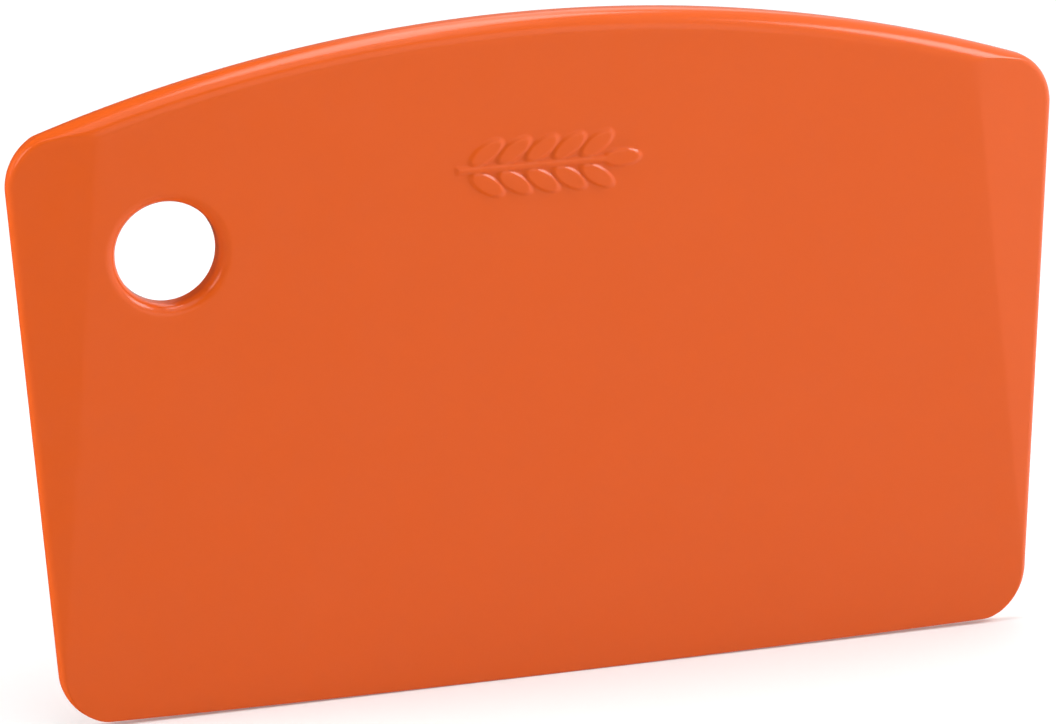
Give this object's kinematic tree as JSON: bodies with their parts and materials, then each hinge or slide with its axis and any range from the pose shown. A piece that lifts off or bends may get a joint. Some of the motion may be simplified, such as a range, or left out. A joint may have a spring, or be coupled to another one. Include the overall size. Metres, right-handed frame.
{
  "type": "bench scraper",
  "caption": "Flat one-piece moulded plastic dough and bench scraper with an arched rounded grip edge, a tapering blade and a hanging hole.",
  "frame": {"origin": "under the middle of the blade edge, half way through the thickness", "axes": "+X along the blade to the right as seen from the front face, +Y out of the back face, +Z from the blade up to the grip edge"},
  "size_m": [0.1332, 0.0058, 0.085],
  "materials": {
    "orange_plastic": "satin moulded polypropylene, coloured through"
  },
  "bodies": {
    "root": {"scraper_body": "orange_plastic"}
  },
  "joints": []
}
